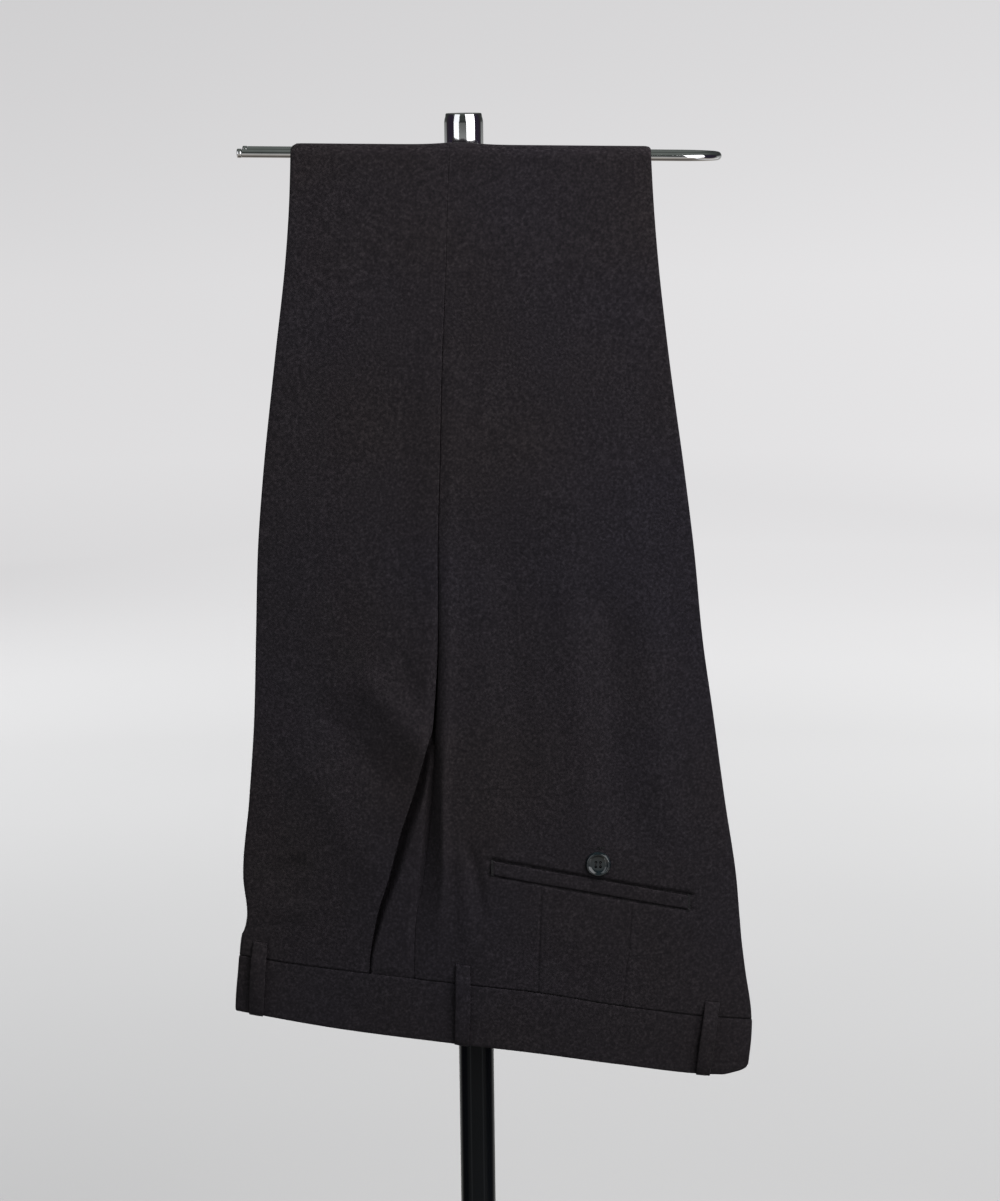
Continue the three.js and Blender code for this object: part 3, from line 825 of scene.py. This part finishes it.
def add_tack(leg, verts, faces, at, run, width, off, count):
    """Row of short threads along run. at, run and width are (across, fall) in mm."""
    for n in range(count):
        t = (n + 0.5) / count - 0.5
        x, f = at[0] + t * run[0], at[1] + t * run[1]
        base = float(outer_depth(leg, np.float64(x), np.float64(f)))
        points = []
        for u in (-0.5, -0.2, 0.2, 0.5):
            depth = base + leg["side"] * (off + (0.15 if abs(u) < 0.3 else 0.0))
            points.append(Vector(hang(x + u * width[0], f + u * width[1], depth, 0.0)) / MM)
        add_thread(verts, faces, points, 0.2, 6)


def bar_tacks(leg_name):
    """Tacks at both ends of the welt, over the button and across each belt loop."""
    leg = LEGS[leg_name]
    verts, faces = [], []
    for across in (WELT["start"] + 0.3, WELT["end"] - 0.3):
        at = (across, welt_line(across))
        add_tack(leg, verts, faces, at, (0, 11), (1.8, 0.3), 1.25, 26)
    eyelet = (BUTTON["across"] + 2.0, BUTTON["fall"] - 11.2)
    add_tack(leg, verts, faces, eyelet, (5.0, -0.4), (0.2, 1.2), 0.6, 12)
    for loop in BELT_LOOPS:
        at = (loop["across"], loop["fall"] + 2.2)
        add_tack(leg, verts, faces, at, (8.6, 1.1), (0.2, 1.5), 2.05, 20)
    return new_object(f"{leg_name}_bar_tacks", verts, faces)


def sharpen(obj, degrees):
    """Marks edges sharper than an angle, so smooth shading keeps them crisp."""
    mesh = obj.data
    limit = math.radians(degrees)
    normals = {}
    for polygon in mesh.polygons:
        for key in polygon.edge_keys:
            normals.setdefault(key, []).append(polygon.normal.copy())
    for edge in mesh.edges:
        pair = normals.get(tuple(sorted(edge.vertices)), [])
        if len(pair) == 2 and pair[0].length > 0 and pair[1].length > 0:
            edge.use_edge_sharp = pair[0].angle(pair[1], 0.0) > limit


# ---------- stand


def rail_height_at(across):
    return RAIL_HEIGHT - RAIL_DIP * across


def rail():
    places = [(PRONG_START, -RAIL_REACH)]
    places += [(x, -RAIL_REACH) for x in (-100, 0, 100)]
    half = RAIL_REACH / 2
    for n in range(41):
        angle = math.pi * n / 40
        places.append((BEND_START + half * math.sin(angle), -half - half * math.cos(angle)))
    places += [(x, 0) for x in (100, 0, -100, PRONG_START)]
    centres = [(x * MM, y * MM, rail_height_at(x) * MM) for x, y in places]
    spots = tube_points(centres, ROD_SHOWN * MM, 40)
    obj = new_object("rail_rod", spots, tube_faces(len(centres), 40))
    sharpen(obj, 50)
    return obj


def rail_cap(name, y):
    """Small plug closing the end of a prong."""
    rows = [(PRONG_START - 0.15, 2.0), (PRONG_START - 0.3, 2.9), (PRONG_START - 0.5, 3.05),
            (CAP_START + 0.6, 3.05), (CAP_START + 0.2, 2.8), (CAP_START, 2.3), (CAP_START, 0.01)]
    verts = []
    sides = 32
    for x, radius in rows:
        for k in range(sides):
            angle = -2 * math.pi * k / sides
            verts.append((x * MM, (y + radius * math.cos(angle)) * MM,
                          (rail_height_at(x) + radius * math.sin(angle)) * MM))
    return new_object(name, verts, tube_faces(len(rows), sides))


def sleeve():
    bore = SLEEVE_RADIUS - 1
    top = SLEEVE_TOP
    profile = [(0, top - 2), (bore, top - 2), (bore, SLEEVE_FOOT)]
    profile += rounded(0.3, (SLEEVE_RADIUS - 0.3, SLEEVE_FOOT + 0.3), -90, 0, 3)
    profile += [(SLEEVE_RADIUS, top - 6.2), (SLEEVE_RADIUS - 0.05, top - 5.4),
                (SLEEVE_RADIUS - 0.3, top - 4.0), (SLEEVE_RADIUS - 0.75, top - 2.2)]
    profile += rounded(0.8, (SLEEVE_RADIUS - 1.75, top - 0.8), 25, 90, 5)
    profile += [(SLEEVE_RADIUS - 4, top - 0.02), (0, top)]
    obj = lathe("sleeve_cap", profile, 96)
    sharpen(obj, 55)
    return obj


def pole():
    top = SLEEVE_TOP - 2.4
    profile = [(0, POLE_FOOT), (POLE_RADIUS, POLE_FOOT), (POLE_RADIUS, top), (0, top)]
    obj = lathe("pole_tube", profile, 96)
    sharpen(obj, 40)
    return obj


def base_plate():
    profile = [(0, 0)]
    profile += rounded(1.0, (BASE_RADIUS - 1.0, 1.0), -90, 0, 4)
    profile += rounded(2.0, (BASE_RADIUS - 2.0, BASE_THICKNESS - 2.0), 0, 90, 6)
    profile += [(POLE_RADIUS + 1.4, BASE_THICKNESS), (0, BASE_THICKNESS)]
    obj = lathe("base_disc", profile, 160)
    sharpen(obj, 50)
    return obj


# ---------- materials


def node(tree, kind, **values):
    made = tree.nodes.new(kind)
    for key, value in values.items():
        setattr(made, key, value)
    return made


def math_node(tree, operation, a, b=None):
    made = node(tree, "ShaderNodeMath", operation=operation)
    for socket, value in zip(made.inputs, (a, b)):
        if value is None:
            continue
        if isinstance(value, (int, float)):
            socket.default_value = value
        else:
            tree.links.new(value, socket)
    return made.outputs[0]


def scaled(tree, value, gain, base):
    return math_node(tree, "ADD", math_node(tree, "MULTIPLY", value, gain), base)


def blended(tree, kind, a, b):
    """Two colours added or multiplied in full."""
    made = node(tree, "ShaderNodeMix", data_type="RGBA", blend_type=kind)
    made.inputs["Factor"].default_value = 1.0
    tree.links.new(a, made.inputs["A"])
    tree.links.new(b, made.inputs["B"])
    return made.outputs["Result"]


def bumped(tree, shader, height, strength, distance):
    made = node(tree, "ShaderNodeBump")
    made.inputs["Strength"].default_value = strength
    made.inputs["Distance"].default_value = distance
    tree.links.new(height, made.inputs["Height"])
    tree.links.new(made.outputs["Normal"], shader.inputs["Normal"])


def object_place(tree):
    return node(tree, "ShaderNodeTexCoord").outputs["Object"]


def split_axes(tree, vector):
    made = node(tree, "ShaderNodeSeparateXYZ")
    tree.links.new(vector, made.inputs[0])
    return made.outputs


def wave(tree, value, turn):
    return math_node(tree, "SINE", math_node(tree, "MULTIPLY", value, turn))


def material(name):
    made = bpy.data.materials.new(name)
    made.use_nodes = True
    return made, made.node_tree, made.node_tree.nodes["Principled BSDF"]


def noise(tree, vector, scale, detail=2.0, rough=0.5):
    made = node(tree, "ShaderNodeTexNoise")
    made.inputs["Scale"].default_value = scale
    made.inputs["Detail"].default_value = detail
    made.inputs["Roughness"].default_value = rough
    tree.links.new(vector, made.inputs["Vector"])
    return made.outputs["Fac"]


def ramp(tree, value, stops):
    made = node(tree, "ShaderNodeValToRGB")
    elements = made.color_ramp.elements
    while len(elements) < len(stops):
        elements.new(0.5)
    for element, (place, colour) in zip(elements, stops):
        element.position = place
        element.color = (*colour, 1)
    tree.links.new(value, made.inputs["Fac"])
    return made.outputs["Color"]


def suiting():
    """Charcoal worsted: fine twill of dark yarns with a few paler fibres."""
    made, tree, shader = material("suiting")
    coords = object_place(tree)
    x, _, z = split_axes(tree, coords)
    turn = 2 * math.pi / (TWILL_PITCH * MM)
    diagonal = wave(tree, math_node(tree, "ADD", x, z), turn)
    grid = math_node(tree, "MULTIPLY", wave(tree, x, turn * 1.9), wave(tree, z, turn * 1.9))
    fibre = noise(tree, coords, 1500, 3.0, 0.7)
    melange = noise(tree, coords, 520, 2.0, 0.6)
    broad = noise(tree, coords, 14, 3.0, 0.55)
    tint = noise(tree, coords, 5.5, 2.0, 0.5)
    weave = math_node(tree, "ADD", math_node(tree, "MULTIPLY", diagonal, 0.5),
                      math_node(tree, "MULTIPLY", grid, 0.35))
    height = math_node(tree, "ADD", weave, math_node(tree, "MULTIPLY", fibre, 1.2))
    shade = math_node(tree, "ADD", math_node(tree, "MULTIPLY", weave, 0.14),
                      math_node(tree, "MULTIPLY", melange, 0.85))
    shade = math_node(tree, "ADD", shade, math_node(tree, "MULTIPLY", broad, 0.07))
    yarn = ramp(tree, shade, (
        (0.27, (0.0036, 0.0031, 0.0040)),
        (0.49, (0.0080, 0.0069, 0.0082)),
        (0.71, (0.0190, 0.0168, 0.0188)),
    ))
    cast = ramp(tree, tint, ((0.35, (0.94, 0.94, 1.09)), (0.65, (1.06, 1.0, 0.95))))
    tree.links.new(blended(tree, "MULTIPLY", yarn, cast), shader.inputs["Base Color"])
    bumped(tree, shader, height, 0.35, 0.12 * MM)
    tree.links.new(scaled(tree, fibre, 0.16, 0.70), shader.inputs["Roughness"])
    shader.inputs["Specular IOR Level"].default_value = 0.16
    shader.inputs["Sheen Weight"].default_value = 0.02
    shader.inputs["Sheen Roughness"].default_value = 0.45
    shader.inputs["Sheen Tint"].default_value = (0.75, 0.7, 0.75, 1)
    return made


def button_resin():
    made, tree, shader = material("button_resin")
    coords = object_place(tree)
    swirl = noise(tree, coords, 260, 4.0, 0.6)
    colour = ramp(tree, swirl, (
        (0.3, (0.002, 0.004, 0.005)),
        (0.6, (0.005, 0.009, 0.011)),
        (0.85, (0.014, 0.021, 0.024)),
    ))
    tree.links.new(colour, shader.inputs["Base Color"])
    scuff = noise(tree, coords, 900, 2.0, 0.5)
    tree.links.new(scaled(tree, scuff, 0.08, 0.07), shader.inputs["Roughness"])
    shader.inputs["IOR"].default_value = 1.55
    shader.inputs["Coat Weight"].default_value = 0.4
    shader.inputs["Coat Roughness"].default_value = 0.08
    return made


def thread_yarn():
    made, tree, shader = material("thread_yarn")
    coords = object_place(tree)
    colour = ramp(tree, noise(tree, coords, 1800, 2.0), (
        (0.3, (0.0040, 0.0038, 0.0045)),
        (0.7, (0.0095, 0.0090, 0.0100)),
    ))
    tree.links.new(colour, shader.inputs["Base Color"])
    shader.inputs["Roughness"].default_value = 0.6
    shader.inputs["Specular IOR Level"].default_value = 0.3
    return made


def chrome():
    made, tree, shader = material("chrome_plate")
    coords = object_place(tree)
    haze = noise(tree, coords, 70, 3.0, 0.6)
    colour = ramp(tree, haze, ((0.35, (0.74, 0.74, 0.75)), (0.65, (0.82, 0.82, 0.83))))
    tree.links.new(colour, shader.inputs["Base Color"])
    shader.inputs["Metallic"].default_value = 1.0
    tree.links.new(scaled(tree, haze, 0.05, 0.045), shader.inputs["Roughness"])
    bumped(tree, shader, noise(tree, coords, 30, 2.0), 0.05, 0.2 * MM)
    return made


def black_gloss():
    made, tree, shader = material("black_gloss")
    coords = object_place(tree)
    dust = noise(tree, coords, 900, 3.0, 0.6)
    cloud = noise(tree, coords, 9, 2.0, 0.5)
    colour = ramp(tree, cloud, ((0.3, (0.0035, 0.0045, 0.0055)), (0.7, (0.0055, 0.006, 0.007))))
    tree.links.new(colour, shader.inputs["Base Color"])
    tree.links.new(scaled(tree, dust, 0.10, 0.07), shader.inputs["Roughness"])
    shader.inputs["IOR"].default_value = 1.2
    return made


# Each surface and its material slot
SUITING = (suiting(), "suiting")
RESIN = (button_resin(), "button")
THREAD = (thread_yarn(), "suiting")
CHROME = (chrome(), "chrome")
BLACK = (black_gloss(), "black_gloss")


def finish_piece(piece, surface, *nodes):
    piece.data.materials.clear()
    piece.data.materials.append(surface[0])
    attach(piece, "root")
    if nodes:
        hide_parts(*nodes)
    return piece


# ---------- making it all

finish_piece(rail(), CHROME, "rail")
finish_piece(rail_cap("rail_plug_front", -RAIL_REACH), CHROME, "rail_cap_front")
finish_piece(rail_cap("rail_plug_rear", 0.0), CHROME, "rail_cap_rear")
finish_piece(sleeve(), CHROME, "pole_sleeve")
finish_piece(pole(), BLACK, "pole")
finish_piece(base_plate(), BLACK, "base_plate")

for name in LEGS:
    front = finish_piece(panel(name, "front"), SUITING, f"{name}_front")
    back = finish_piece(panel(name, "back"), SUITING, f"{name}_back")
    waist = finish_piece(waistband(name), SUITING, f"{name}_waistband")
    facing = finish_piece(pocket_facing(name), SUITING, f"{name}_pocket_facing")
    welt = finish_piece(back_welt(name), SUITING, f"{name}_back_welt")
    tacks = finish_piece(bar_tacks(name), THREAD)
    for loop in BELT_LOOPS:
        finish_piece(belt_loop(name, loop), SUITING,
                                  f"{name}_belt_loop_{loop['name']}")
    body, matrix = back_button(name)
    finish_piece(body, RESIN, f"{name}_back_button")
    strands = finish_piece(button_thread(name, matrix), THREAD)

# ---------- stage, light, camera


# Painted light: the paper glows by its distance from the middle, as a share of PAPER_REACH
# metres, in place of the studio lights' brightness on the floor and backdrop
PAPER_REACH = 8.0
PAINTED_PAPER_GLOW = ((0.03, 0.14), (0.12, 0.138), (0.24, 0.18), (0.37, 0.27), (0.44, 0.385),
              (0.50, 0.475), (0.60, 0.60), (0.72, 0.665), (0.81, 0.66), (0.875, 0.58))


def greys(rows):
    return [(place, (level, level, level)) for place, level in rows]


def bowl():
    """Pale floor that rises into a round backdrop, far enough out for every view."""
    profile = [(0, 0.0), (2500, 0.0), (5200, 0.0), (5800, 60), (6400, 330), (6900, 900),
               (7200, 1700), (7350, 2600), (7400, 3600)]
    obj = lathe("studio_floor", profile, 96)
    smooth = obj.modifiers.new("smooth", "SUBSURF")
    smooth.levels = 1
    smooth.render_levels = 2
    made, tree, shader = material("studio_paper")
    coords = object_place(tree)
    colour = ramp(tree, noise(tree, coords, 0.8, 2.0), greys(((0.3, 0.215), (0.7, 0.225))))
    tree.links.new(colour, shader.inputs["Base Color"])
    shader.inputs["Roughness"].default_value = 0.95
    shader.inputs["Specular IOR Level"].default_value = 0.0
    x, y, _ = split_axes(tree, coords)
    square = math_node(tree, "ADD", math_node(tree, "MULTIPLY", x, x),
                       math_node(tree, "MULTIPLY", y, y))
    reach = math_node(tree, "DIVIDE", math_node(tree, "SQRT", square), PAPER_REACH)
    painted_glow = ramp(tree, reach, greys(PAINTED_PAPER_GLOW))
    # Painted light: the glow is stronger towards +x, as if the paper were lit more from the right
    painted_light_x = math_node(tree, "MAXIMUM", math_node(tree, "MINIMUM", x, 1.5), -1.5)
    aside = scaled(tree, painted_light_x, 0.045, 1.0)
    tree.links.new(math_node(tree, "MULTIPLY", painted_glow, aside), shader.inputs["Emission Strength"])
    shader.inputs["Emission Color"].default_value = (1.0, 0.99, 1.0, 1)
    obj.data.materials.append(made)
    obj.visible_glossy = False
    obj.visible_diffuse = False


def softbox(name, azimuth, distance, height, size, power, colour, mirrored=True):
    """Area light facing the trousers. Azimuth is in degrees from straight in front.
    The chrome and the black gloss show only the mirrored ones."""
    light = bpy.data.lights.new(name, "AREA")
    light.shape = "RECTANGLE"
    light.size, light.size_y = size
    light.energy = power
    light.color = colour
    obj = placed(name, light)
    angle = math.radians(azimuth)
    obj.location = (distance * math.sin(angle), -distance * math.cos(angle), height)
    aim = Vector((0, 0, 0.85)) - obj.location
    obj.rotation_euler = aim.to_track_quat("-Z", "Y").to_euler()
    obj.visible_camera = False
    obj.visible_glossy = mirrored


def studio_world():
    """Even pale fill for the cloth. Reflections see a dim room with a paler wall in front."""
    world = bpy.data.worlds.new("studio")
    world.use_nodes = True
    tree = world.node_tree
    fill = tree.nodes["Background"]
    fill.inputs["Color"].default_value = (0.96, 0.965, 1.0, 1)
    fill.inputs["Strength"].default_value = 0.32
    room = node(tree, "ShaderNodeBackground")
    x, y, z = split_axes(tree, node(tree, "ShaderNodeTexCoord").outputs["Generated"])
    upward = scaled(tree, z, 0.5, 0.5)
    levels = ramp(tree, upward, (
        (0.02, (0.110, 0.100, 0.090)),
        (0.20, (0.420, 0.395, 0.360)),
        (0.455, (0.400, 0.410, 0.405)),
        (0.50, (0.190, 0.195, 0.190)),
        (0.53, (0.080, 0.085, 0.080)),
        (0.58, (0.030, 0.032, 0.032)),
        (0.80, (0.060, 0.068, 0.062)),
        (0.93, (0.130, 0.145, 0.135)),
    ))
    sideways = math_node(tree, "ABSOLUTE", x)
    streak = ramp(tree, sideways, ((0.56, (0, 0, 0)), (0.60, (0.8, 0.85, 0.9)),
                                   (0.64, (0.8, 0.85, 0.9)), (0.68, (0, 0, 0))))
    low = ramp(tree, upward, greys(((0.20, 1), (0.36, 1), (0.39, 0))))
    ahead = blended(tree, "ADD", levels, blended(tree, "MULTIPLY", streak, low))
    edge = node(tree, "ShaderNodeMapRange", interpolation_type="SMOOTHSTEP")
    edge.inputs["From Min"].default_value = 0.80
    edge.inputs["From Max"].default_value = 0.90
    tree.links.new(sideways, edge.inputs["Value"])
    blend = node(tree, "ShaderNodeMix", data_type="RGBA")
    tree.links.new(edge.outputs["Result"], blend.inputs["Factor"])
    tree.links.new(ahead, blend.inputs["A"])
    aside = ramp(tree, y, ((0.02, (0.024, 0.019, 0.032)), (0.45, (0.028, 0.024, 0.030)),
                           (0.80, (0.085, 0.082, 0.078))))
    tree.links.new(aside, blend.inputs["B"])
    tree.links.new(blend.outputs["Result"], room.inputs["Color"])
    mix = node(tree, "ShaderNodeMixShader")
    tree.links.new(node(tree, "ShaderNodeLightPath").outputs["Is Glossy Ray"],
                   mix.inputs["Fac"])
    tree.links.new(fill.outputs[0], mix.inputs[1])
    tree.links.new(room.outputs[0], mix.inputs[2])
    tree.links.new(mix.outputs[0], tree.nodes["World Output"].inputs["Surface"])
    bpy.context.scene.world = world


CAMERA_PLACE = (20.8, -2250, RAIL_HEIGHT + 88.4)
CAMERA_PITCH = math.radians(10.063)
CAMERA_ROLL = math.radians(-0.697)


def camera():
    """Long lens a little above the rail, looking down and rolled slightly."""
    data = bpy.data.cameras.new("camera")
    data.sensor_fit = "HORIZONTAL"
    data.sensor_width = 36
    data.lens = 117.75
    data.clip_end = 100
    obj = placed("camera", data)
    forward = Vector((0, math.cos(CAMERA_PITCH), -math.sin(CAMERA_PITCH)))
    level = Vector((1, 0, 0))
    raised = level.cross(forward)
    cos, sin = math.cos(CAMERA_ROLL), math.sin(CAMERA_ROLL)
    right = cos * level + sin * raised
    up = -sin * level + cos * raised
    turn = Matrix((right, up, -forward)).transposed().to_4x4()
    obj.matrix_world = Matrix.Translation(Vector(CAMERA_PLACE) * MM) @ turn
    bpy.context.scene.camera = obj


bowl()
studio_world()
# azimuth in degrees, distance, height and size in metres, power in watts, colour
softbox("softbox_right", 43, 2.6, 1.75, (2.7, 2.7), 55, (1.0, 0.99, 1.0))
softbox("softbox_left", -44, 2.6, 1.60, (1.55, 2.5), 15, (0.95, 0.97, 1.0))
softbox("key", 46, 0.95, 1.95, (0.8, 0.6), 39, (1.0, 0.98, 0.98), False)
softbox("rear_right", 142, 3.6, 2.4, (2.4, 2.0), 190, (1.0, 1.0, 1.0), False)
softbox("rear_left", -148, 3.6, 2.2, (2.4, 2.0), 150, (0.98, 0.99, 1.0), False)
camera()
bpy.context.scene.view_settings.view_transform = "Standard"
